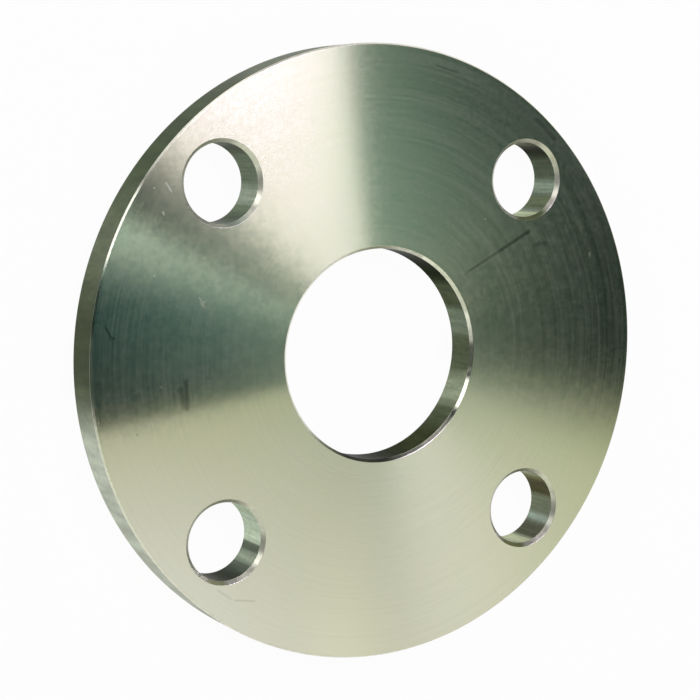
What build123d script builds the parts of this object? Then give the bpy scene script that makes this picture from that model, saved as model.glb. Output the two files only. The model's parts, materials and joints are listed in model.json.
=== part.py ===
from build123d import *
import os

# A slip-on pipe flange: one flat ring of stainless steel, turned all over and then drilled.
# It lies on its gasket face. The origin is the centre of that face, and +Z runs up the bore,
# out through the back face, which is the one that the tube is pushed in from.
# The bolt holes straddle the X and Y axes. All sizes are in millimetres.

# The ring.
OUTSIDE_DIAMETER = 152.4
THICKNESS = 11.1
RIM_BREAK = 0.4

# The bore is a loose fit on the tube that is welded into it.
TUBE_DIAMETER = 50.8
TUBE_CLEARANCE = 0.8
BORE_BACK_CHAMFER = 0.7
BORE_GASKET_CHAMFER = 2.0

# The bolt holes, with the metal that is left between each of them and the rim.
BOLT_COUNT = 4
BOLT_DIAMETER = 15.875
BOLT_CLEARANCE = 1.5875
RIM_LAND = 6.35
HOLE_BACK_CHAMFER = 0.9
HOLE_GASKET_CHAMFER = 0.9

# How far a cutting tool runs past each face, so that no cut ends on a face.
OVERRUN = 2.0

# Sizes that follow from the ones above.
RIM_RADIUS = OUTSIDE_DIAMETER / 2
BORE_RADIUS = TUBE_DIAMETER / 2 + TUBE_CLEARANCE
HOLE_RADIUS = BOLT_DIAMETER / 2 + BOLT_CLEARANCE
BOLT_CIRCLE_RADIUS = RIM_RADIUS - RIM_LAND - HOLE_RADIUS
FIRST_BOLT_ANGLE = 180 / BOLT_COUNT


def turned_ring():
    """The ring as it leaves the lathe: its half section, spun about the flange's axis."""
    half_section = Polyline(
        (BORE_RADIUS, BORE_GASKET_CHAMFER),
        (BORE_RADIUS + BORE_GASKET_CHAMFER, 0),
        (RIM_RADIUS - RIM_BREAK, 0),
        (RIM_RADIUS, RIM_BREAK),
        (RIM_RADIUS, THICKNESS - RIM_BREAK),
        (RIM_RADIUS - RIM_BREAK, THICKNESS),
        (BORE_RADIUS + BORE_BACK_CHAMFER, THICKNESS),
        (BORE_RADIUS, THICKNESS - BORE_BACK_CHAMFER),
        close=True,
    )
    return revolve(Plane.XZ * make_face(half_section), axis=Axis.Z)


def bolt_hole_cut():
    """What drilling removes for one bolt: a straight hole, with a countersink at each mouth."""
    half_section = Polyline(
        (0, -OVERRUN),
        (HOLE_RADIUS + HOLE_GASKET_CHAMFER + OVERRUN, -OVERRUN),
        (HOLE_RADIUS, HOLE_GASKET_CHAMFER),
        (HOLE_RADIUS, THICKNESS - HOLE_BACK_CHAMFER),
        (HOLE_RADIUS + HOLE_BACK_CHAMFER + OVERRUN, THICKNESS + OVERRUN),
        (0, THICKNESS + OVERRUN),
        close=True,
    )
    return revolve(Plane.XZ * make_face(half_section), axis=Axis.Z)


def slip_on_flange():
    """The finished flange: the turned ring, drilled on its bolt circle."""
    bolt_circle = PolarLocations(BOLT_CIRCLE_RADIUS, BOLT_COUNT, start_angle=FIRST_BOLT_ANGLE)
    return turned_ring() - [place * bolt_hole_cut() for place in bolt_circle]


os.makedirs("parts", exist_ok=True)
export_step(slip_on_flange(), "parts/flange.step")
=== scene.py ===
"""Looks of a slip-on pipe flange: one turned and drilled ring of stainless steel, lying on its gasket face.

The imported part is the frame. Lengths are in metres, the origin is the centre of the gasket face, and +Z runs
up the bore.
"""

import json
import logging
import math
from dataclasses import dataclass, replace
from enum import Enum

import bpy
from mathutils import Matrix, Vector


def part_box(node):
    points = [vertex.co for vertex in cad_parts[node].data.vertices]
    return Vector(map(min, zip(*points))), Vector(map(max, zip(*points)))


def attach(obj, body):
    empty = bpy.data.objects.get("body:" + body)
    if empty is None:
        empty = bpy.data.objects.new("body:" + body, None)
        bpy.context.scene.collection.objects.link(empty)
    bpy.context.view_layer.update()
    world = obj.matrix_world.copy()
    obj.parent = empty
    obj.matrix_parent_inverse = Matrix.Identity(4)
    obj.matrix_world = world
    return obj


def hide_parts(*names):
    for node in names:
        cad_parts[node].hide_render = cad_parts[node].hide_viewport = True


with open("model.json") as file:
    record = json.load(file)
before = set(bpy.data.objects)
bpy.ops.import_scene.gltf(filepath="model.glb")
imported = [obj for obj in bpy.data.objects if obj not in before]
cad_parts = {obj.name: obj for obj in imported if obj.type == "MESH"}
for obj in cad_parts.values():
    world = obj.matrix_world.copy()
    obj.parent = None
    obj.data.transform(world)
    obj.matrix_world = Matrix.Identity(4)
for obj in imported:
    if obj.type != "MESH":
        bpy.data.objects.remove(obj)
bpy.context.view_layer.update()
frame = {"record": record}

log = logging.getLogger("flange")
MM = 0.001
LEVEL = (1.0, 1.0, 0.0)

Socket = bpy.types.NodeSocket
Sockets = bpy.types.NodeOutputs
Colour = tuple[float, float, float]
Outline = tuple[tuple[float, float], ...]


class Zone(Enum):
    """The kinds of surface on the ring, each with a finish of its own."""

    TURNED_FACE = "turned_face"
    TURNED_RIM = "turned_rim"
    BORED_WALL = "bored_wall"
    DRILLED_WALL = "drilled_wall"
    RIM_BREAK = "rim_break"
    BORE_CHAMFER = "bore_chamfer"
    COUNTERSINK = "countersink"


@dataclass(frozen=True)
class FlangeSizes:
    """Sizes of the ring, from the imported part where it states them.

    Attributes:
        rim_radius: Outside radius.
        thickness: From the gasket face up to the back face.
        bore_radius: Radius of the tube bore.
        bolt_circle_radius: From the flange's axis to each bolt hole's.
        bolt_count: How many bolt holes there are.
        hole_radius: Radius of each bolt hole.
        rim_break: Size of the edge break round the rim.
        bore_back_chamfer: Size of the bore's chamfer at the back face.
        bore_gasket_chamfer: Size of the bore's chamfer at the gasket face.
        hole_back_chamfer: Size of each countersink at the back face.
        hole_gasket_chamfer: Size of each countersink at the gasket face.
        edge_rounding: Radius to which handling has worn each cut edge.
    """

    rim_radius: float
    thickness: float
    bore_radius: float
    bolt_circle_radius: float
    bolt_count: int
    hole_radius: float
    rim_break: float = 0.4 * MM
    bore_back_chamfer: float = 0.7 * MM
    bore_gasket_chamfer: float = 2.0 * MM
    hole_back_chamfer: float = 0.9 * MM
    hole_gasket_chamfer: float = 0.9 * MM
    edge_rounding: float = 0.1 * MM

    @classmethod
    def from_frame(cls) -> "FlangeSizes":
        """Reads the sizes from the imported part's box and from its mounts.

        Returns:
            The sizes, in metres.
        """
        low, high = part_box("flange")
        mounts = {mount["name"]: mount["dims"] for mount in frame["record"]["mounts"]}
        bolts = mounts["bolt_circle"]
        return cls(
            rim_radius=(high.x - low.x) / 2,
            thickness=high.z - low.z,
            bore_radius=mounts["tube_bore"]["r_mm"] * MM,
            bolt_circle_radius=bolts["pcd_mm"] / 2 * MM,
            bolt_count=bolts["count"],
            hole_radius=bolts["hole_r_mm"] * MM,
        )


class NodeGraph:
    """Short ways to add and join the nodes of a tree. A value is a plain one, or another node's socket."""

    def __init__(self, tree: bpy.types.NodeTree) -> None:
        """Takes the tree that the nodes go into."""
        self.tree = tree

    def add(self, kind: str, inputs: dict | None = None, **settings: object) -> bpy.types.Node:
        """Adds a node, sets it and fills its inputs.

        Args:
            kind: The node's type.
            inputs: The value that goes into each input, by the input's name or number.
            **settings: Properties of the node itself.

        Returns:
            The node.
        """
        node = self.tree.nodes.new(kind)
        for key, value in settings.items():
            setattr(node, key, value)
        for key, value in (inputs or {}).items():
            self.feed(node.inputs[key], value)
        return node

    def out(self, kind: str, inputs: dict | None = None, **settings: object) -> Socket:
        """Adds a node in the same way and gives its first output."""
        return self.add(kind, inputs, **settings).outputs[0]

    def feed(self, socket: Socket, value: object) -> None:
        """Gives a socket its value.

        Args:
            socket: The socket.
            value: The value.
        """
        if isinstance(value, Socket):
            self.tree.links.new(value, socket)
        else:
            socket.default_value = value

    def math(self, operation: str, *values: object) -> Socket:
        """Works out a number from one, two or three others."""
        return self.out("ShaderNodeMath", dict(enumerate(values)), operation=operation)

    def vector(self, operation: str, *values: object) -> Socket:
        """Works out a vector, a length, a distance or a dot product from one or two vectors."""
        node = self.add("ShaderNodeVectorMath", dict(enumerate(values)), operation=operation)
        return node.outputs["Value" if operation in ("LENGTH", "DOT_PRODUCT", "DISTANCE") else "Vector"]


class RingTree(NodeGraph):
    """The geometry node tree that turns the ring and drills it.

    Each wall is a section swept round a circle. The two faces are filled between the circles where the walls end,
    and everything is welded into one closed skin.
    """

    METAL_SIDE = {"Rim": -1.0, "Bore": 1.0, "Hole": 1.0}
    ROUNDING_STEPS = 3
    WELD = 0.002 * MM
    LAND_OVER_ROUNDING = 1.5
    FLAT_NORMAL = 0.9999
    WALL_NORMAL = 0.02
    HARD_EDGE_DEG = 3.0

    def __init__(self, inputs: dict[str, float | int], finishes: dict[Zone, bpy.types.Material]) -> None:
        """Builds the tree.

        Args:
            inputs: What will go into the tree, by name. A whole number has a whole-number socket.
            finishes: The material of each zone.
        """
        super().__init__(bpy.data.node_groups.new("turned_ring", "GeometryNodeTree"))
        self.tree.is_modifier = True
        self.tree.interface.new_socket("Geometry", in_out="OUTPUT", socket_type="NodeSocketGeometry")
        for name, value in inputs.items():
            kind = "NodeSocketInt" if isinstance(value, int) else "NodeSocketFloat"
            self.tree.interface.new_socket(name, in_out="INPUT", socket_type=kind)
        self.given = self.add("NodeGroupInput").outputs
        self.land = self.math("MULTIPLY", self.given["Edge Rounding"], self.LAND_OVER_ROUNDING)
        skin = self.dressed(self.shaded(self.skin()), finishes)
        self.feed(self.add("NodeGroupOutput").inputs[0], skin)

    def compare(self, operation: str, a: object, b: object) -> Socket:
        """Compares two numbers by LESS_THAN or GREATER_THAN."""
        return self.out("FunctionNodeCompare", {0: a, 1: b}, operation=operation, data_type="FLOAT")

    def both(self, a: Socket, b: Socket, operation: str = "AND") -> Socket:
        """Joins two true or false sockets. NIMPLY is the first without the second."""
        return self.out("FunctionNodeBooleanMath", {0: a, 1: b}, operation=operation)

    def join(self, *parts: Socket) -> Socket:
        """Joins several geometries into one.

        Args:
            *parts: The sockets that carry them.

        Returns:
            The socket that carries them all.
        """
        node = self.add("GeometryNodeJoinGeometry")
        for part in reversed(parts):
            self.feed(node.inputs[0], part)
        return node.outputs[0]

    def chamfer(self, name: str, side: str) -> Socket:
        """Gives the size of the rim's, the bore's or a hole's chamfer at the back or the gasket face."""
        return self.given["Rim Break" if name == "Rim" else f"{name} {side} Chamfer"]

    def circle(self, radius: object, steps: object) -> Socket:
        """Makes a level circle about the axis, as a curve."""
        return self.out("GeometryNodeCurvePrimitiveCircle", {"Resolution": steps, "Radius": radius}, mode="RADIUS")

    def section(self, points: list[tuple[object, object]]) -> Socket:
        """Makes a wall's section, with its corners rounded.

        Args:
            points: How far each corner is out from the wall, and how high.

        Returns:
            The socket that carries the section as a curve.
        """
        switch = self.add("GeometryNodeIndexSwitch", data_type="VECTOR")
        for _ in range(len(points) - 2):
            switch.index_switch_items.new()
        self.feed(switch.inputs[0], self.out("GeometryNodeInputIndex"))
        for number, (out, height) in enumerate(points):
            place = self.out("ShaderNodeCombineXYZ", {0: out, 1: self.math("MULTIPLY", height, -1.0)})
            self.feed(switch.inputs[number + 1], place)
        corners = self.out("GeometryNodePoints", {"Count": len(points), "Position": switch.outputs[0]})
        return self.out("GeometryNodeFilletCurve", {
            "Curve": self.out("GeometryNodePointsToCurves", {"Points": corners}),
            "Count": self.ROUNDING_STEPS, "Radius": self.given["Edge Rounding"], "Limit Radius": True,
        }, mode="POLY")

    def wall(self, name: str) -> Socket:
        """Sweeps a wall with its chamfers round its axis. The outside of the metal is on its section's left.

        Args:
            name: Rim, Bore or Hole.

        Returns:
            The socket that carries the wall as a mesh.
        """
        top, metal = self.given["Thickness"], self.METAL_SIDE[name]
        back, gasket = (self.chamfer(name, side) for side in ("Back", "Gasket"))
        points = [
            (self.math("ADD", gasket, self.land), 0.0),
            (gasket, 0.0),
            (0.0, gasket),
            (0.0, self.math("SUBTRACT", top, back)),
            (back, top),
            (self.math("ADD", back, self.land), top),
        ][::int(metal)]
        section = self.section([(self.math("MULTIPLY", out, metal), height) for out, height in points])
        circle = self.circle(self.given[f"{name} Radius"], self.given[f"{name} Steps"])
        return self.out("GeometryNodeCurveToMesh", {"Curve": circle, "Profile Curve": section})

    def at_bolts(self, geometry: Socket) -> Socket:
        """Repeats a geometry at every bolt hole.

        Args:
            geometry: What is repeated.

        Returns:
            The socket that carries the instances.
        """
        count = self.given["Bolt Count"]
        ring = self.out("GeometryNodeMeshCircle", {"Vertices": count, "Radius": self.given["Bolt Circle Radius"]})
        turn = self.out("ShaderNodeCombineXYZ", {2: self.math("DIVIDE", math.pi, count)})
        turned = self.out("GeometryNodeTransform", {"Geometry": ring, "Rotation": turn})
        return self.out("GeometryNodeInstanceOnPoints", {"Points": turned, "Instance": geometry})

    def face(self, side: str, height: object) -> Socket:
        """Fills one flat face between the circles at which the walls end.

        Args:
            side: Back or Gasket.
            height: The face's height.

        Returns:
            The socket that carries the face as a mesh that looks up.
        """
        circles = []
        for name, metal in self.METAL_SIDE.items():
            reach = self.math("MULTIPLY", self.math("ADD", self.chamfer(name, side), self.land), metal)
            radius = self.math("ADD", self.given[f"{name} Radius"], reach)
            circles.append(self.circle(radius, self.given[f"{name} Steps"]))
        rim, bore, hole = circles
        holes = self.out("GeometryNodeRealizeInstances", {"Geometry": self.at_bolts(hole)})
        filled = self.out("GeometryNodeFillCurve", {"Curve": self.join(rim, bore, holes)}, mode="TRIANGLES")
        lift = self.out("ShaderNodeCombineXYZ", {2: height})
        return self.out("GeometryNodeTransform", {"Geometry": filled, "Translation": lift})

    def skin(self) -> Socket:
        """Joins the walls and the faces.

        Returns:
            The socket that carries the welded skin. On the bolt holes' walls, hole_place is where each point is
            from the hole's own axis.
        """
        hole_wall = self.out(
            "GeometryNodeStoreNamedAttribute",
            {"Geometry": self.wall("Hole"), "Name": "hole_place", "Value": self.out("GeometryNodeInputPosition")},
            data_type="FLOAT_VECTOR", domain="POINT")
        back = self.face("Back", self.given["Thickness"])
        gasket = self.out("GeometryNodeFlipFaces", {"Mesh": self.face("Gasket", 0.0)})
        skin = self.join(self.wall("Rim"), self.wall("Bore"), self.at_bolts(hole_wall), back, gasket)
        whole = self.out("GeometryNodeRealizeInstances", {"Geometry": skin})
        return self.out("GeometryNodeMergeByDistance", {"Geometry": whole, "Distance": self.WELD})

    def shaded(self, skin: Socket) -> Socket:
        """Shades the walls smooth and keeps every cut edge hard.

        Args:
            skin: The welded skin.

        Returns:
            The shaded skin.
        """
        smooth = self.out("GeometryNodeSetShadeSmooth", {"Geometry": skin}, domain="FACE")
        bend = self.out("GeometryNodeInputMeshEdgeAngle")
        hard = self.compare("GREATER_THAN", bend, math.radians(self.HARD_EDGE_DEG))
        edges = {"Geometry": smooth, "Selection": hard, "Shade Smooth": False}
        return self.out("GeometryNodeSetShadeSmooth", edges, domain="EDGE")

    def dressed(self, skin: Socket, finishes: dict[Zone, bpy.types.Material]) -> Socket:
        """Gives each zone of the skin its material, by how steep it is and how far it is from the axis.

        Args:
            skin: The shaded skin.
            finishes: The material of each zone.

        Returns:
            The dressed skin.
        """
        normal = self.add("GeometryNodeInputNormal").outputs["True Normal"]
        slope = self.math("ABSOLUTE", self.add("ShaderNodeSeparateXYZ", {0: normal}).outputs[2])
        flat = self.compare("GREATER_THAN", slope, self.FLAT_NORMAL)
        wall = self.compare("LESS_THAN", slope, self.WALL_NORMAL)
        radius = self.vector("LENGTH", self.vector("MULTIPLY", self.out("GeometryNodeInputPosition"), LEVEL))
        bolts = self.given["Bolt Circle Radius"]
        hole_reach = self.math("ADD", self.given["Hole Radius"], self.given["Hole Back Chamfer"])
        outer = self.compare("GREATER_THAN", radius, self.math("ADD", bolts, hole_reach))
        before_holes = self.math("SUBTRACT", bolts, self.math("ADD", hole_reach, self.given["Rim Break"]))
        inner = self.compare("LESS_THAN", radius, before_holes)
        zones = {
            Zone.COUNTERSINK: True,
            Zone.RIM_BREAK: outer,
            Zone.BORE_CHAMFER: inner,
            Zone.DRILLED_WALL: self.both(wall, self.both(outer, inner, "OR"), "NIMPLY"),
            Zone.TURNED_RIM: self.both(wall, outer),
            Zone.BORED_WALL: self.both(wall, inner),
            Zone.TURNED_FACE: flat,
        }
        for zone, where in zones.items():
            inputs = {"Geometry": skin, "Selection": where, "Material": finishes[zone]}
            skin = self.out("GeometryNodeSetMaterial", inputs)
        return skin


@dataclass
class TurnedRing:
    """The ring itself: the flange's one piece.

    Attributes:
        sizes: Its sizes.
        rim_steps: Steps round the rim.
        bore_steps: Steps round the bore.
        hole_steps: Steps round each bolt hole.
    """

    sizes: FlangeSizes
    rim_steps: int = 512
    bore_steps: int = 384
    hole_steps: int = 192

    def inputs(self) -> dict[str, float | int]:
        """Lists what goes into the ring's tree.

        Returns:
            Each size and count by its name in the tree, where rim_steps is Rim Steps.
        """
        values = {**vars(self.sizes), **vars(self)}
        del values["sizes"]
        return {name.replace("_", " ").title(): value for name, value in values.items()}

    def build(self, finishes: dict[Zone, bpy.types.Material]) -> bpy.types.Object:
        """Makes the ring as a plain mesh.

        Args:
            finishes: The material of each zone.

        Returns:
            The ring's object, at the origin.
        """
        ring = bpy.data.objects.new("turned_ring", bpy.data.meshes.new("turned_ring"))
        bpy.context.scene.collection.objects.link(ring)
        tree = RingTree(self.inputs(), finishes).tree
        modifier = ring.modifiers.new("turned_ring", "NODES")
        modifier.node_group = tree
        sockets = {item.name: item.identifier for item in tree.interface.items_tree if item.in_out == "INPUT"}
        for name, value in self.inputs().items():
            modifier[sockets[name]] = value
        graph = bpy.context.evaluated_depsgraph_get()
        made = bpy.data.meshes.new_from_object(ring.evaluated_get(graph))
        ring.modifiers.clear()
        ring.data = made
        made.name = "turned_ring"
        return ring

    def place(self, ring: bpy.types.Object) -> None:
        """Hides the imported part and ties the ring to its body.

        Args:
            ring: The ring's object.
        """
        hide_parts("flange")
        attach(ring, "root")


class ShaderGraph(NodeGraph):
    """More ways to join the nodes of a material, of the world or of a shader node group."""

    def scaled(self, vector: object, scale: object) -> Socket:
        """Multiplies a vector by a number."""
        return self.out("ShaderNodeVectorMath", {0: vector, "Scale": scale}, operation="SCALE")

    def ramp(self, value: object, low: object, high: object, to_low: object = 0.0, to_high: object = 1.0,
             kind: str = "SMOOTHSTEP") -> Socket:
        """Maps a number from the range of low and high to that of to_low and to_high, and holds it at the ends."""
        ends = {0: value, 1: low, 2: high, 3: to_low, 4: to_high}
        return self.out("ShaderNodeMapRange", ends, interpolation_type=kind, clamp=True)

    def noise(self, place: object, detail: float, roughness: float) -> Socket:
        """Adds noise about one half, with one feature to each unit of its place."""
        return self.out("ShaderNodeTexNoise", {"Vector": place, "Scale": 1.0, "Detail": detail, "Roughness": roughness})

    def mix_colour(self, share: object, a: object, b: object, blend: str = "MIX") -> Socket:
        """Mixes two colours.

        Args:
            share: How much there is of the second.
            a: The first colour or its socket.
            b: The second.
            blend: How they are mixed.

        Returns:
            The socket that carries the mixed colour.
        """
        node = self.add("ShaderNodeMix", {"Factor": share}, data_type="RGBA", blend_type=blend)
        for name, colour in (("A", a), ("B", b)):
            socket = next(s for s in node.inputs if s.name == name and s.type == "RGBA")
            self.feed(socket, (*colour, 1.0) if isinstance(colour, tuple) else colour)
        return next(s for s in node.outputs if s.type == "RGBA")

    def swing(self, middle: float, *parts: tuple[Socket, float]) -> Socket:
        """Adds up several patterns about a middle value.

        Args:
            middle: The value where every pattern is one half.
            *parts: Each pattern, which runs about one half, and how far it moves the value.

        Returns:
            The socket that carries the sum.
        """
        total: object = middle - sum(reach for _, reach in parts)
        for pattern, reach in parts:
            total = self.math("MULTIPLY_ADD", pattern, 2.0 * reach, total)
        return total

    def shared(self, name: str, **inputs: object) -> Sockets:
        """Places a shared group, fills its inputs and gives its outputs."""
        return self.add("ShaderNodeGroup", inputs, node_tree=bpy.data.node_groups[name]).outputs


class ShaderGroup(ShaderGraph):
    """A shader node group that several finishes use, each with values of its own."""

    def __init__(self, name: str, inputs: dict[str, float | None], outputs: tuple[str, ...] = ("Mask",)) -> None:
        """Makes the group's tree and its sockets.

        Args:
            name: The group's name.
            inputs: The usual value of each input, by name, or None for an input that takes a vector.
            outputs: The names of the outputs, which all carry numbers.
        """
        super().__init__(bpy.data.node_groups.new(name, "ShaderNodeTree"))
        for key, value in inputs.items():
            kind = "NodeSocketVector" if value is None else "NodeSocketFloat"
            socket = self.tree.interface.new_socket(key, in_out="INPUT", socket_type=kind)
            if value is not None:
                socket.default_value = value
        for key in outputs:
            self.tree.interface.new_socket(key, in_out="OUTPUT", socket_type="NodeSocketFloat")
        self.given = self.add("NodeGroupInput").outputs
        self.result = self.add("NodeGroupOutput").inputs


def build_lathe_lay() -> None:
    """Builds the group for the lay that a lathe leaves: fine lines that run round an axis, about one half."""
    group = ShaderGroup("lathe_lay", {"Place": None, "Pitch": 0.25 * MM, "Drift": 3.0}, ("Fine", "Medium", "Coarse"))
    place = group.given["Place"]
    level = group.vector("MULTIPLY", place, LEVEL)
    height = group.add("ShaderNodeSeparateXYZ", {0: place}).outputs[2]
    along = group.math("SUBTRACT", group.vector("LENGTH", level), height)
    across = group.math("DIVIDE", along, group.given["Pitch"])
    around = group.scaled(group.vector("NORMALIZE", level), group.given["Drift"])
    for name, stretch, shift in (("Fine", 1.0, 0.0), ("Medium", 0.42, 17.0), ("Coarse", 0.13, 41.0)):
        line = group.math("MULTIPLY_ADD", across, stretch, shift)
        where = group.vector("ADD", around, group.out("ShaderNodeCombineXYZ", {2: line}))
        group.feed(group.result[name], group.noise(where, detail=3.0, roughness=0.6))


def build_clouds() -> None:
    """Builds the group for cloudy patches, such as smears of oil. Mask is one where a patch is thickest."""
    group = ShaderGroup("clouds", {"Place": None, "Size": 12.0 * MM, "Start": 0.4, "Full": 0.65})
    cell = group.scaled(group.given["Place"], group.math("DIVIDE", 1.0, group.given["Size"]))
    cloud = group.noise(cell, detail=4.0, roughness=0.6)
    group.feed(group.result["Mask"], group.ramp(cloud, group.given["Start"], group.given["Full"]))


def build_stroke() -> None:
    """Builds the group for one scratch: a thin straight stroke that fades towards its ends."""
    group = ShaderGroup("stroke", {"Place": None, "Start": None, "End": None, "Width": 0.3 * MM, "Strength": 1.0})
    given = group.given
    run = group.vector("SUBTRACT", given["End"], given["Start"])
    here = group.vector("SUBTRACT", given["Place"], given["Start"])
    share = group.math("DIVIDE", group.vector("DOT_PRODUCT", here, run), group.vector("DOT_PRODUCT", run, run))
    held = group.math("MINIMUM", group.math("MAXIMUM", share, 0.0), 1.0)
    off = group.vector("DISTANCE", here, group.scaled(run, held))
    ends = group.ramp(group.math("ABSOLUTE", group.math("SUBTRACT", share, 0.5)), low=0.5, high=0.38)
    core = group.ramp(off, given["Width"], 0.0)
    group.feed(group.result["Mask"], group.math("MULTIPLY", group.math("MULTIPLY", core, ends), given["Strength"]))


def build_specks() -> None:
    """Builds the group for small pits and specks, scattered at random. Mask is one in a speck."""
    group = ShaderGroup("specks", {"Place": None, "Spacing": 6.0 * MM, "Size": 0.25 * MM, "Share": 0.3})
    given = group.given
    cell = group.scaled(given["Place"], group.math("DIVIDE", 1.0, given["Spacing"]))
    spots = group.add("ShaderNodeTexVoronoi", {"Vector": cell, "Scale": 1.0}, voronoi_dimensions="3D").outputs
    near = group.ramp(group.math("MULTIPLY", spots["Distance"], given["Spacing"]), given["Size"], 0.0)
    draw = group.out("ShaderNodeSeparateColor", {0: spots["Color"]})
    chosen = group.math("LESS_THAN", draw, given["Share"])
    group.feed(group.result["Mask"], group.math("MULTIPLY", near, chosen))


def build_painted_light_band() -> None:
    """Builds the group that picks out where a band of painted light and shade goes: the stretch of a wall or a face
    that lies towards one side of its axis.
    """
    group = ShaderGroup("wall_band", {"Place": None, "Towards": None, "Outer": 0.8, "Inner": 0.9,
                                      "Axis Place": None, "Axis Side": None, "Axis Reach": -1.0})
    given = group.given
    out = group.vector("NORMALIZE", group.vector("MULTIPLY", given["Place"], LEVEL))
    facing = group.ramp(group.vector("DOT_PRODUCT", out, given["Towards"]), given["Outer"], given["Inner"])
    beside = group.vector("DOT_PRODUCT", given["Axis Place"], given["Axis Side"])
    chosen = group.math("GREATER_THAN", beside, given["Axis Reach"])
    group.feed(group.result["Mask"], group.math("MULTIPLY", facing, chosen))


@dataclass(frozen=True)
class Stroke:
    """One scratch or scuff on the back face.

    Attributes:
        start: Where it starts on the face, in millimetres.
        end: Where it ends.
        width: How far it reaches to each side, in millimetres.
        strength: How plain it is, from 0 to 1.
        bright: Whether it is raw metal that catches the light. Otherwise it is dark.
    """

    start: tuple[float, float]
    end: tuple[float, float]
    width: float
    strength: float
    bright: bool = False


@dataclass(frozen=True)
class PaintedLightBand:
    """A stretch of a wall, an edge or a face whose colour is painted lighter or darker than the rest, for painted
    reflections, highlights and shade.

    Attributes:
        side_deg: The side of its axis that the band lies on, from +X towards +Y.
        spread_deg: How far it reaches to each side of that. ALL_ROUND is the whole of it.
        shade: How many times as light it is as the rest, in red, green and blue.
        soft_deg: How wide its borders are.
        hole: Which bolt hole it is in, by the signs of the hole's X and Y. Otherwise it is in all of them.
    """

    side_deg: float
    spread_deg: float
    shade: Colour
    soft_deg: float = 10.0
    hole: tuple[int, int] | None = None

    HOLE_REACH = 10.0 * MM
    ALL_ROUND = 180.0
    COSINES_ALL_ROUND = (-2.0, -1.5)

    def inputs(self) -> dict[str, object]:
        """Works out what goes into the band's group.

        Returns:
            The group's inputs, by name.
        """
        side = math.radians(self.side_deg)
        half = self.soft_deg / 2
        found = {
            "Towards": (math.cos(side), math.sin(side), 0.0),
            "Outer": math.cos(math.radians(self.spread_deg + half)),
            "Inner": math.cos(math.radians(max(self.spread_deg - half, 0.0))),
        }
        if self.spread_deg >= self.ALL_ROUND:
            found["Outer"], found["Inner"] = self.COSINES_ALL_ROUND
        if self.hole:
            found["Axis Side"] = (*self.hole, 0.0)
            found["Axis Reach"] = self.HOLE_REACH
        return found


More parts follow.
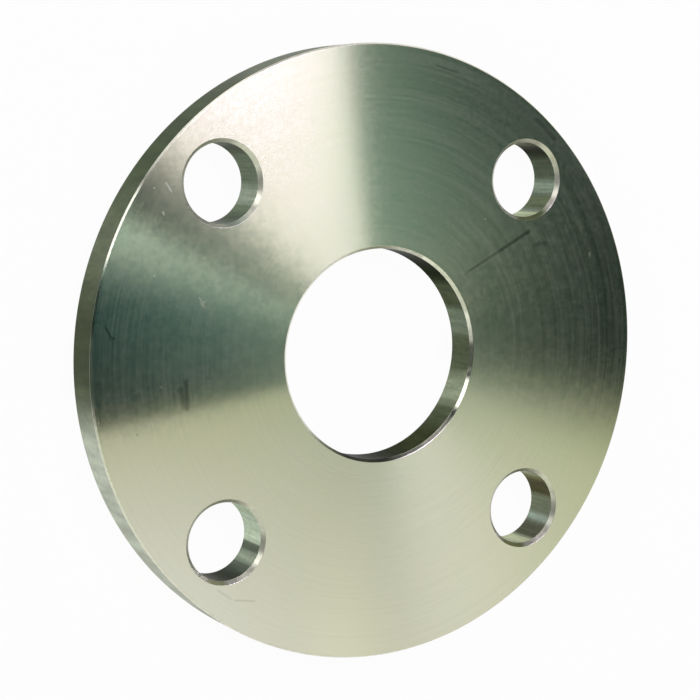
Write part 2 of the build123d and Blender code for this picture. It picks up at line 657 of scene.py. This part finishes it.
@dataclass(frozen=True)
class SteelFinish:
    """How one zone of the ring is finished.

    Attributes:
        zone: The zone.
        metal: Colour of the clean metal.
        film: Colour where a thin film of oil or handling dulls it.
        roughness: How rough it is on the whole.
        line_roughness: How much single lines differ in roughness.
        mottle_roughness: How much small spots differ in it.
        anisotropy: How much further a reflection is smeared across the lines than along them.
        pitch: Distance from one line to the next.
        drift: How soon a line changes on its way round.
        band_depth: Height of the coarse lines.
        line_tone: How much the lines show in the colour.
        scatter: How much light the dullest lines scatter and don't mirror.
        mottle: How much small spots of stain show in the colour.
        film_share: How much of the film there is where it is thickest.
        speck_share: How many of the places for a speck have one.
        about_hole: Whether the lines run round the bolt hole and not round the flange's axis.
        slant_shine: How much a wall seen at a slant shines, as a share of what clean metal does.
        streak_stops: How much a wall's streaks differ, each step being twice as light.
        bands: Painted reflections, highlights and shade: the stretches of a wall or an edge that are made lighter and
            darker.
        stains: Painted shade: the stretches of a face that are darkened in spots, and how dark the spots are.
        strokes: The scratches.
    """

    zone: Zone
    metal: Colour
    film: Colour
    roughness: float
    line_roughness: float
    anisotropy: float
    mottle_roughness: float = 0.0
    pitch: float = 0.25 * MM
    drift: float = 3.0
    band_depth: float = 0.003 * MM
    line_tone: float = 0.1
    scatter: float = 0.0
    mottle: float = 0.1
    film_share: float = 0.3
    speck_share: float = 0.0
    about_hole: bool = False
    slant_shine: float = 1.0
    streak_stops: float = 0.8
    bands: tuple[PaintedLightBand, ...] = ()
    stains: tuple[PaintedLightBand, ...] = ()
    strokes: tuple[Stroke, ...] = ()

    ACROSS_THE_LAY = 0.25
    ROUGHNESS_LIMITS = (0.08, 0.9)
    DULL_LINES = (0.9, 1.3)
    LINE_DEPTH = 0.001 * MM
    STREAKS_ROUND = 16.0
    STREAKS_DOWN = 60.0
    RAW_METAL = (0.85, 0.85, 0.78)
    RAW_ROUGHNESS = 0.55
    DARK_SHARE = 0.75

    def build(self) -> bpy.types.Material:
        """Makes the material.

        Returns:
            The material.
        """
        material = bpy.data.materials.new(self.zone.value)
        material.use_nodes = True
        graph = ShaderGraph(material.node_tree)
        place = graph.add("ShaderNodeTexCoord").outputs["Object"]
        about = place
        if self.about_hole:
            about = graph.add("ShaderNodeAttribute", attribute_name="hole_place").outputs["Vector"]
        lay = graph.shared("lathe_lay", Place=about, Pitch=self.pitch, Drift=self.drift)
        fine, medium, coarse = lay["Fine"], lay["Medium"], lay["Coarse"]
        film = graph.shared("clouds", Place=place)["Mask"]
        mottle = graph.shared("clouds", Place=place, Size=1.1 * MM, Start=0.25, Full=0.75)["Mask"]

        colour = graph.mix_colour(graph.math("MULTIPLY", film, self.film_share), self.metal, self.film)
        tone = graph.swing(1.0, (fine, self.line_tone), (coarse, self.line_tone), (mottle, self.mottle))
        colour = graph.scaled(colour, tone)
        spots = graph.shared("clouds", Place=place, Size=2.5 * MM, Start=0.35, Full=0.65)["Mask"]
        # Painted shade: darker spots over the stretches of the face that mirror dark surroundings.
        for shade_spot in self.stains:
            within = graph.shared("wall_band", Place=place, **shade_spot.inputs())["Mask"]
            colour = graph.mix_colour(graph.math("MULTIPLY", within, spots), colour, shade_spot.shade, "MULTIPLY")
        if self.bands:
            colour = self.banded(graph, place, about, colour)
        rough = graph.swing(self.roughness, (fine, self.line_roughness), (medium, self.line_roughness),
                            (coarse, self.line_roughness), (mottle, self.mottle_roughness))
        colour, rough = self.marked(graph, place, colour, rough)

        metallic: object = 1.0
        if self.scatter:
            dull = graph.math("ADD", medium, coarse)
            metallic = graph.ramp(dull, *self.DULL_LINES, 1.0, 1.0 - self.scatter, "LINEAR")
        height = graph.swing(0.0, (fine, self.LINE_DEPTH / MM), (medium, self.band_depth / MM))
        values = {
            "Base Color": colour,
            "Roughness": graph.ramp(rough, *self.ROUGHNESS_LIMITS, *self.ROUGHNESS_LIMITS, "LINEAR"),
            "Metallic": metallic,
            "Specular Tint": (self.slant_shine, self.slant_shine, self.slant_shine, 1.0),
            "Anisotropic": self.anisotropy,
            "Anisotropic Rotation": self.ACROSS_THE_LAY,
            "Tangent": graph.vector("NORMALIZE", graph.vector("CROSS_PRODUCT", (0.0, 0.0, 1.0), about)),
            "Normal": graph.out("ShaderNodeBump", {"Height": height, "Distance": MM, "Strength": 1.0}),
        }
        for name, value in values.items():
            graph.feed(graph.tree.nodes["Principled BSDF"].inputs[name], value)
        return material

    def banded(self, graph: ShaderGraph, place: Socket, about: Socket, colour: Socket) -> Socket:
        """Streaks a wall from top to foot, and paints stretches of it lighter and darker: painted reflections,
        highlights and shade.

        Args:
            graph: The material's nodes.
            place: The place on the flange.
            about: The place about the wall's own axis.
            colour: The wall's colour.

        Returns:
            The socket that carries the new colour.
        """
        axis_place = graph.vector("SUBTRACT", place, about)
        out = graph.vector("NORMALIZE", graph.vector("MULTIPLY", about, LEVEL))
        cell = graph.vector("ADD", graph.scaled(out, self.STREAKS_ROUND), graph.scaled(place, self.STREAKS_DOWN))
        streaks = graph.noise(cell, detail=3.0, roughness=0.6)
        stops = graph.math("MULTIPLY_ADD", streaks, 2 * self.streak_stops, -self.streak_stops)
        colour = graph.scaled(colour, graph.math("POWER", 2.0, stops))
        # Painted reflections, highlights and shade: each band makes its stretch of the wall or edge lighter or darker.
        for band in self.bands:
            mask = graph.shared("wall_band", Place=about, **{"Axis Place": axis_place}, **band.inputs())["Mask"]
            colour = graph.mix_colour(mask, colour, band.shade, "MULTIPLY")
        return colour

    def marked(self, graph: ShaderGraph, place: Socket, colour: Socket, rough: Socket) -> tuple[Socket, Socket]:
        """Adds the scratches and specks.

        Args:
            graph: The material's nodes.
            place: The place on the flange.
            colour: The colour so far.
            rough: The roughness so far.

        Returns:
            The new colour and roughness.
        """
        dark: object = 0.0
        bright: object = 0.0
        if self.speck_share:
            bright = graph.shared("specks", Place=place, Share=self.speck_share)["Mask"]
        for stroke in self.strokes:
            start, end = ((x * MM, y * MM, 0.0) for x, y in (stroke.start, stroke.end))
            level = graph.vector("MULTIPLY", place, LEVEL)
            mask = graph.shared("stroke", Place=level, Start=start, End=end, Width=stroke.width * MM,
                                Strength=stroke.strength)["Mask"]
            if stroke.bright:
                bright = graph.math("MAXIMUM", bright, mask)
            else:
                dark = graph.math("MAXIMUM", dark, mask)
        if isinstance(dark, Socket):
            colour = graph.scaled(colour, graph.math("MULTIPLY_ADD", dark, -self.DARK_SHARE, 1.0))
        if isinstance(bright, Socket):
            colour = graph.mix_colour(bright, colour, self.RAW_METAL)
            rough = graph.math("MULTIPLY_ADD", bright, graph.math("SUBTRACT", self.RAW_ROUGHNESS, rough), rough)
        return colour, rough


class FlangeFinishes:
    """The finishes of all the ring's zones."""

    METAL = (0.61, 0.61, 0.52)
    OILY_METAL = (0.50, 0.60, 0.50)
    EDGE_METAL = (0.72, 0.71, 0.60)
    # Painted shade: the walls' colours are far darker than the face's steel, standing in for the dark surroundings that
    # they mirror.
    SHADED_METAL = (0.150, 0.176, 0.130)
    BROWN_METAL = (0.140, 0.145, 0.100)
    RIM_METAL = (0.17, 0.20, 0.127)

    # Painted shade: mottled darkening on the two stretches of the back face that mirror dark surroundings.
    STAINS = (
        PaintedLightBand(161.0, 29.0, (0.85, 0.88, 0.89), 22.0),
        PaintedLightBand(12.0, 26.0, (0.82, 0.84, 0.84), 25.0),
    )
    STROKES = tuple(Stroke(*row) for row in (
        ((23.7, 18.9), (44.4, 29.8), 0.6, 0.55),
        ((34.0, 24.3), (44.7, 30.0), 0.8, 0.75),
        ((15.0, 71.2), (22.8, 69.2), 0.5, 0.4),
        ((45.0, 58.7), (52.3, 52.4), 0.9, 0.35),
        ((44.8, 25.9), (49.5, 26.5), 0.8, 0.4),
        ((-52.7, -2.4), (-52.4, -10.7), 1.0, 0.6),
        ((-54.1, -4.2), (-52.6, -10.2), 1.6, 0.4),
        ((-72.4, 10.6), (-70.6, 7.1), 0.4, 0.8),
        ((-71.0, 7.5), (-70.1, 7.7), 0.4, 0.7),
        ((-45.4, -53.7), (-41.2, -56.9), 0.4, 0.2),
        ((-41.2, -56.9), (-34.8, -58.0), 0.4, 0.25),
    )) + tuple(Stroke(*row, bright=True) for row in (
        ((-57.2, 43.2), (-55.4, 40.6), 0.45, 0.6),
        ((-60.0, 41.9), (-59.8, 41.6), 0.4, 0.6),
        ((-58.0, 36.4), (-57.4, 35.4), 0.4, 0.5),
        ((-49.0, 16.3), (-47.5, 13.4), 0.4, 0.6),
        ((-47.5, 15.3), (-48.5, 14.1), 0.4, 0.5),
        ((27.2, -2.3), (28.1, -2.1), 0.3, 0.8),
        ((-60.4, 21.6), (-59.9, 21.6), 0.35, 0.8),
        ((-74.5, -11.4), (-74.1, -11.4), 0.4, 0.9),
        ((-65.2, -14.9), (-64.8, -14.9), 0.35, 0.8),
        ((-30.0, 4.6), (-29.6, 4.6), 0.35, 0.8),
        ((-59.1, -4.3), (-58.7, -4.3), 0.3, 0.5),
        ((62.9, 23.4), (63.1, 22.2), 0.2, 0.35),
    ))

    # Painted reflections, highlights and shade in the bolt holes: each hole's wall is made lighter or darker as a
    # whole, then in stretches round it.
    HOLE_BANDS = tuple(PaintedLightBand(*row, hole) for hole, rows in {
        (1, 1): (
            (0.0, PaintedLightBand.ALL_ROUND, (2.2, 2.25, 1.35), 10.0),
            (62.0, 23.0, (0.21, 0.20, 0.13), 24.0),
            (31.0, 32.0, (0.25, 0.27, 0.40), 15.0),
            (-12.0, 11.0, (0.73, 0.77, 1.3), 13.0),
            (-42.0, 20.0, (0.43, 0.44, 0.58), 11.0),
            (-70.0, 14.0, (1.8, 1.75, 2.3), 16.0),
        ),
        (-1, 1): (
            (0.0, PaintedLightBand.ALL_ROUND, (1.0, 1.1, 1.0), 10.0),
            (66.0, 11.0, (0.31, 0.34, 0.20), 28.0),
            (-28.0, 16.0, (2.2, 2.05, 2.35), 33.0),
            (-65.0, 31.0, (0.52, 0.57, 0.47), 7.0),
        ),
        (-1, -1): (
            (0.0, PaintedLightBand.ALL_ROUND, (0.81, 0.84, 0.86), 10.0),
            (54.0, 17.0, (4.3, 4.5, 4.0), 4.0),
            (12.0, 24.0, (4.6, 4.6, 4.6), 5.0),
            (-35.0, 6.0, (2.65, 2.65, 2.6), 14.0),
            (-101.0, 35.0, (0.19, 0.21, 0.13), 40.0),
        ),
        (1, -1): (
            (0.0, PaintedLightBand.ALL_ROUND, (1.1, 1.1, 1.0), 10.0),
            (83.0, 43.0, (2.3, 2.3, 1.9), 16.0),
            (30.0, 19.0, (0.50, 0.41, 0.28), 12.0),
            (-29.0, 6.0, (1.75, 1.85, 2.2), 12.0),
            (-49.0, 16.0, (0.56, 0.52, 0.49), 5.0),
            (-89.0, 15.0, (3.75, 3.5, 3.3), 19.0),
        ),
    }.items() for row in rows)
    # Painted reflections, highlights and shade on the bore's wall; the dark stretch towards 60 degrees stands in for a
    # shadow.
    BORE_BANDS = (
        PaintedLightBand(0.0, PaintedLightBand.ALL_ROUND, (0.60, 0.62, 0.50)),
        PaintedLightBand(60.0, 15.0, (0.17, 0.20, 0.13), 22.0),
        PaintedLightBand(15.0, 4.0, (2.0, 2.05, 2.4), 14.0),
        PaintedLightBand(-24.0, 6.0, (3.1, 2.95, 3.35), 14.0),
        PaintedLightBand(-63.0, 11.0, (0.65, 0.63, 0.54), 23.0),
        PaintedLightBand(-100.0, 15.0, (0.32, 0.33, 0.28), 40.0),
    )
    # Painted highlight and shade on the rim: a bright stretch towards 210 degrees and darker stretches beside it.
    RIM_BANDS = (
        PaintedLightBand(210.0, 23.0, (3.5, 3.2, 4.1), 11.0),
        PaintedLightBand(177.0, 8.0, (0.40, 0.43, 0.35), 20.0),
        PaintedLightBand(134.0, 10.0, (0.45, 0.54, 0.41), 23.0),
    )
    # Painted reflection: darker stretches of the rim's edge break where it mirrors dark surroundings.
    RIM_BREAK_BANDS = (
        PaintedLightBand(167.0, 6.0, (0.24, 0.32, 0.30), 4.0),
        PaintedLightBand(178.0, 7.0, (0.45, 0.55, 0.50), 4.0),
    )
    # Painted reflection: darker stretches of the bore's chamfer, the darkest standing in for a dark thing that it
    # mirrors.
    BORE_CHAMFER_BANDS = (
        PaintedLightBand(-4.0, 7.0, (0.20, 0.22, 0.20), 5.0),
        PaintedLightBand(-100.0, 18.0, (0.07, 0.07, 0.07), 14.0),
    )
    # Painted reflection: a darker stretch in each bolt hole's countersink where it mirrors dark surroundings.
    COUNTERSINK_BANDS = (
        PaintedLightBand(-78.0, 26.0, (0.25, 0.30, 0.18), 20.0, (1, 1)),
        PaintedLightBand(-68.0, 16.0, (0.55, 0.62, 0.60), 16.0, (-1, 1)),
        PaintedLightBand(-108.0, 20.0, (0.28, 0.32, 0.16), 16.0, (1, -1)),
        PaintedLightBand(-105.0, 12.0, (0.55, 0.57, 0.40), 16.0, (-1, -1)),
    )

    # Painted shade: the walls are shaded copies of the steel, and the lower slant_shine set on them below dims their
    # reflections as well.
    WALL = SteelFinish(Zone.BORED_WALL, SHADED_METAL, SHADED_METAL, 0.28, 0.05, 0.8, pitch=0.3 * MM)
    EDGE = SteelFinish(Zone.RIM_BREAK, EDGE_METAL, METAL, 0.20, 0.03, 0.5, streak_stops=0.1)
    ALL = (
        SteelFinish(
            Zone.TURNED_FACE, METAL, OILY_METAL, 0.125, 0.02, 1.0, mottle_roughness=0.014, pitch=0.11 * MM, drift=1.8,
            band_depth=0.0003 * MM, line_tone=0.03, scatter=0.05, mottle=0.015, film_share=0.05, speck_share=0.06,
            stains=STAINS, strokes=STROKES),
        replace(WALL, zone=Zone.TURNED_RIM, metal=RIM_METAL, film=RIM_METAL, roughness=0.30, slant_shine=0.55,
                bands=RIM_BANDS),
        replace(WALL, slant_shine=0.42, bands=BORE_BANDS),
        replace(WALL, zone=Zone.DRILLED_WALL, film=BROWN_METAL, line_roughness=0.06, pitch=0.4 * MM, about_hole=True,
                slant_shine=0.55, bands=HOLE_BANDS),
        replace(EDGE, bands=RIM_BREAK_BANDS),
        replace(EDGE, zone=Zone.BORE_CHAMFER, roughness=0.16, anisotropy=0.7, bands=BORE_CHAMFER_BANDS),
        replace(EDGE, zone=Zone.COUNTERSINK, roughness=0.32, line_roughness=0.04, anisotropy=0.3, about_hole=True,
                bands=COUNTERSINK_BANDS),
    )

    def build(self) -> dict[Zone, bpy.types.Material]:
        """Builds the shared groups and makes every material.

        Returns:
            The materials, by zone.
        """
        for build_group in (build_lathe_lay, build_clouds, build_stroke, build_specks, build_painted_light_band):
            build_group()
        return {finish.zone: finish.build() for finish in self.ALL}


def way_to(side_deg: float, height_deg: float) -> Vector:
    """Works out the way to a side, from +X towards +Y, and a height above the horizon."""
    side, height = math.radians(side_deg), math.radians(height_deg)
    return Vector((math.cos(side) * math.cos(height), math.sin(side) * math.cos(height), math.sin(height)))


def lay_sheet(name: str, outline: Outline, height: float) -> tuple[bpy.types.Object, ShaderGraph]:
    """Lays a level sheet with a bare material.

    Args:
        name: Its name.
        outline: Its corners, in order, seen from above and turning to the left.
        height: How high it lies.

    Returns:
        The sheet and its material's nodes.
    """
    mesh = bpy.data.meshes.new(name)
    mesh.from_pydata([(x, y, height) for x, y in outline], [], [tuple(range(len(outline)))])
    material = bpy.data.materials.new(name)
    material.use_nodes = True
    material.node_tree.nodes.remove(material.node_tree.nodes["Principled BSDF"])
    mesh.materials.append(material)
    sheet = bpy.data.objects.new(name, mesh)
    bpy.context.scene.collection.objects.link(sheet)
    return sheet, ShaderGraph(material.node_tree)


@dataclass(frozen=True)
class Softbox:
    """A diffused studio lamp: an evenly bright rectangle that is turned to the flange.

    Attributes:
        name: Its name.
        side_deg: The side that it stands on, from +X towards +Y.
        height_deg: How high it stands, above the horizon.
        width_deg: How wide it looks from the flange.
        depth_deg: How tall it looks.
        brightness: How bright it looks, where white paper is one.
        colour: Its colour.
    """

    name: str
    side_deg: float
    height_deg: float
    width_deg: float
    depth_deg: float
    brightness: float
    colour: Colour = (1.0, 1.0, 1.0)

    DISTANCE = 1.5

    def build(self) -> None:
        """Stands the lamp in its place."""
        away = way_to(self.side_deg, self.height_deg)
        data = bpy.data.lights.new(self.name, "AREA")
        data.shape = "RECTANGLE"
        width, depth = (2 * self.DISTANCE * math.tan(math.radians(a / 2)) for a in (self.width_deg, self.depth_deg))
        data.size, data.size_y = width, depth
        data.color = self.colour
        data.energy = math.pi * width * depth * self.brightness
        lamp = bpy.data.objects.new(self.name, data)
        lamp.location = away * self.DISTANCE
        lamp.rotation_euler = away.to_track_quat("Z", "Y").to_euler()
        lamp.visible_camera = False
        bpy.context.scene.collection.objects.link(lamp)


@dataclass(frozen=True)
class LightPanel:
    """A level sheet of diffuser over the flange, lit from behind.

    Its light is strongest about its core and fades at its sides. It adds to the light of the sheets above it.

    Attributes:
        name: Its name.
        height: How high it hangs.
        outline: Its corners, in order, seen from above and turning to the left.
        core: The point about which it is brightest.
        core_reach: How far the core's light reaches.
        core_light: Its brightness in red, green and blue at the core, where white paper is one.
        edge_light: The same beyond the core's reach.
        feather: How far in its light fades from each side, the first one running from the first corner.
    """

    name: str
    height: float
    outline: Outline
    core: tuple[float, float]
    core_reach: float
    core_light: Colour
    edge_light: Colour = (0.0, 0.0, 0.0)
    feather: tuple[float, ...] = ()

    def build(self) -> None:
        """Hangs the panel."""
        panel, graph = lay_sheet(self.name, self.outline, self.height)
        place = graph.add("ShaderNodeTexCoord").outputs["Object"]
        off = graph.vector("DISTANCE", place, (*self.core, self.height))
        colour = graph.mix_colour(graph.ramp(off, self.core_reach, 0.0), self.edge_light, self.core_light)
        light = graph.out("ShaderNodeEmission", {"Color": colour, "Strength": self.faded(graph, place)})
        both = graph.out("ShaderNodeAddShader", {0: light, 1: graph.out("ShaderNodeBsdfTransparent")})
        graph.feed(graph.tree.nodes["Material Output"].inputs["Surface"], both)
        panel.visible_camera = False

    def faded(self, graph: ShaderGraph, place: Socket) -> object:
        """Fades the light towards the feathered sides.

        Args:
            graph: The material's nodes.
            place: The place on the panel.

        Returns:
            One, or the socket that carries the share of the light.
        """
        least: object = 1.0
        corners = [Vector((x, y, self.height)) for x, y in self.outline]
        for start, end, feather in zip(corners, corners[1:] + corners[:1], self.feather):
            if feather:
                along = (end - start).normalized()
                inward = Vector((-along.y, along.x, 0.0))
                inside = graph.vector("DOT_PRODUCT", place, tuple(inward))
                near = inward.dot(start)
                share = graph.ramp(inside, near, near + feather, kind="LINEAR")
                least = graph.math("MINIMUM", least, share)
        return graph.ramp(least, 0.0, 1.0) if isinstance(least, Socket) else least


@dataclass(frozen=True)
class Studio:
    """The plain studio round the flange: a pale floor, a pale sweep at the horizon, and soft lamps.

    Attributes:
        floor_reach: How far the floor runs each way.
        floor_colour: The floor's colour.
        lit_share: How much of the floor's white is its own, to the camera and in the metal.
        sweep: Brightness at the horizon.
        ceiling: Brightness overhead.
        sweep_top_deg: Where the sweep starts to darken, above the horizon.
        ceiling_foot_deg: Where it is as dark as the ceiling.
    """

    floor_reach: float = 8.0
    floor_colour: Colour = (0.9, 0.9, 0.9)
    lit_share: float = 0.96
    sweep: Colour = (0.92, 0.92, 0.90)
    ceiling: Colour = (0.004, 0.012, 0.010)
    sweep_top_deg: float = 9.0
    ceiling_foot_deg: float = 14.0

    WARM = (0.95, 1.0, 0.89)
    PANELS = tuple(LightPanel(*row) for row in (
        ("key_panel", 1.0, ((0.458, -0.096), (0.563, -0.096), (0.464, 1.3), (-0.45, 1.3), (-0.45, 0.711)),
         (0.251, 0.491), 0.396, (13.0, 11.0, 17.5), (1.31, 1.18, 1.10), (0.016, 0.028, 0.0, 0.0, 0.072)),
        ("fill_panel", 1.004, ((-0.6, -1.5), (0.86, -1.5), (0.564, -0.139), (-0.6, -0.313)),
         (0.247, -0.505), 0.572, (1.41, 1.4, 1.55), (0.43, 0.41, 0.04), (0.0, 0.128, 0.0, 0.0)),
        ("side_fill_panel", 1.008, ((0.482, -1.5), (1.691, -1.5), (1.691, -0.37), (0.422, -0.043)),
         (0.479, -0.403), 0.554, (1.29, 1.26, 1.22), (0.60, 0.64, 0.33), (0.0, 0.3, 0.12, 0.235)),
        ("strip_panel", 1.012, ((-0.529, 0.148), (0.6, -0.163), (0.142, 0.128), (-0.392, 0.315)),
         (0.0, 0.0), 1.0, (5.2, 6.9, 6.0), (5.2, 6.9, 6.0), (0.344, 0.107, 0.04, 0.062)),
        ("spill_panel", 1.020, ((0.5, -0.108), (0.76, -0.108), (0.76, 1.6), (0.5, 1.6)),
         (0.0, 0.0), 1.0, (0.46, 0.67, 0.54), (0.46, 0.67, 0.54), (0.364, 0.492, 0.0, 0.01)),
        ("glow_panel", 1.016, ((0.32, -0.28), (0.78, -0.28), (0.78, 0.17), (0.32, 0.17)),
         (0.547, -0.059), 0.223, (0.16, 0.30, 0.24)),
        ("pale_glow_panel", 1.024, ((0.50, -0.26), (0.86, -0.26), (0.86, 0.10), (0.50, 0.10)),
         (0.645, -0.10), 0.12, (0.09, 0.085, 0.05)),
        ("warm_glow_panel", 1.028, ((0.26, -0.11), (0.42, -0.11), (0.42, 0.05), (0.26, 0.05)),
         (0.355, -0.03), 0.05, (0.34, 0.13, 0.03)),
        ("cool_glow_panel", 1.032, ((0.23, -0.22), (0.51, -0.22), (0.51, 0.05), (0.23, 0.05)),
         (0.37, -0.085), 0.13, (0.02, 0.09, 0.11)),
    ))
    SIDE_LAMPS = (
        Softbox("back_softbox", 112.0, 14.0, 36.0, 11.0, 1.3),
        Softbox("back_high_softbox", 100.0, 27.0, 46.0, 12.0, 0.22),
        Softbox("back_left_softbox", 148.0, 27.0, 23.0, 17.0, 3.0),
        Softbox("left_softbox", 194.0, 33.0, 44.0, 10.0, 0.8),
        Softbox("front_left_softbox", 238.0, 22.0, 70.0, 24.0, 0.83, WARM),
    )

    def build(self) -> None:
        """Builds the floor, the world and the lamps."""
        self.floor()
        self.world()
        for light in (*self.PANELS, *self.SIDE_LAMPS):
            light.build()

    def floor(self) -> None:
        """Lays the floor."""
        reach = self.floor_reach
        floor, graph = lay_sheet("floor", ((-reach, -reach), (reach, -reach), (reach, reach), (-reach, reach)), 0.0)
        paper = graph.out("ShaderNodeBsdfDiffuse", {"Color": (*self.floor_colour, 1.0)})
        white = graph.out("ShaderNodeEmission", {"Color": (1.0, 1.0, 1.0, 1.0), "Strength": 1.0})
        path = graph.add("ShaderNodeLightPath").outputs
        mirrored = graph.math("MAXIMUM", path["Is Glossy Ray"], path["Is Transmission Ray"])
        seen = graph.math("MAXIMUM", path["Is Camera Ray"], mirrored)
        share = graph.math("MULTIPLY", seen, self.lit_share)
        mixed = graph.out("ShaderNodeMixShader", {0: share, 1: paper, 2: white})
        graph.feed(graph.tree.nodes["Material Output"].inputs["Surface"], mixed)

    def world(self) -> None:
        """Makes the sweep and the dark ceiling over it."""
        world = bpy.data.worlds.new("studio")
        world.use_nodes = True
        bpy.context.scene.world = world
        graph = ShaderGraph(world.node_tree)
        way = graph.add("ShaderNodeTexCoord").outputs["Generated"]
        height = graph.add("ShaderNodeSeparateXYZ", {0: way}).outputs[2]
        top, foot = (math.sin(math.radians(a)) for a in (self.sweep_top_deg, self.ceiling_foot_deg))
        colour = graph.mix_colour(graph.ramp(height, top, foot), self.sweep, self.ceiling)
        graph.feed(world.node_tree.nodes["Background"].inputs["Color"], colour)


@dataclass(frozen=True)
class StudioCamera:
    """The camera, at the photograph's angle, looking down on the flange as it lies.

    Attributes:
        azimuth_deg: Way from the face's centre to the camera, round from +X.
        elevation_deg: Its height above the face.
        distance: How far it stands from the face's centre.
        lens_mm: Focal length on a sensor as wide as the picture.
        sensor_mm: The sensor's width.
        picture: The picture's width and height in pixels.
        face_centre: The pixel at which the face's centre stands.
    """

    azimuth_deg: float = 167.1
    elevation_deg: float = 59.55
    distance: float = 0.4515
    lens_mm: float = 93.9
    sensor_mm: float = 36.0
    picture: int = 700
    face_centre: tuple[float, float] = (381.7, 354.6)

    def build(self, aim: Vector) -> None:
        """Makes the camera and makes it the scene's.

        Args:
            aim: The point that it is turned to.
        """
        back = way_to(self.azimuth_deg, self.elevation_deg)
        right = Vector((0.0, 1.0, 0.0)).cross(back).normalized()
        turn = Matrix((right, back.cross(right), back)).transposed().to_4x4()
        data = bpy.data.cameras.new("camera")
        data.lens = self.lens_mm
        data.sensor_width = self.sensor_mm
        data.shift_x = 0.5 - self.face_centre[0] / self.picture
        data.shift_y = self.face_centre[1] / self.picture - 0.5
        camera = bpy.data.objects.new("camera", data)
        camera.matrix_world = Matrix.Translation(aim + back * self.distance) @ turn
        bpy.context.scene.collection.objects.link(camera)
        bpy.context.scene.camera = camera


def main() -> None:
    """Builds the flange and its scene, and notes how many finishes there are and how many faces the ring has."""
    logging.basicConfig(level=logging.INFO, format="%(name)s: %(message)s")
    sizes = FlangeSizes.from_frame()
    finishes = FlangeFinishes().build()
    log.info("finishes: %d", len(finishes))
    ring = TurnedRing(sizes)
    made = ring.build(finishes)
    ring.place(made)
    log.info("turned ring: %d faces", len(made.data.polygons))
    Studio().build()
    StudioCamera().build(Vector((0.0, 0.0, sizes.thickness)))
    bpy.context.scene.view_settings.view_transform = "Standard"


if __name__ == "__main__":
    main()
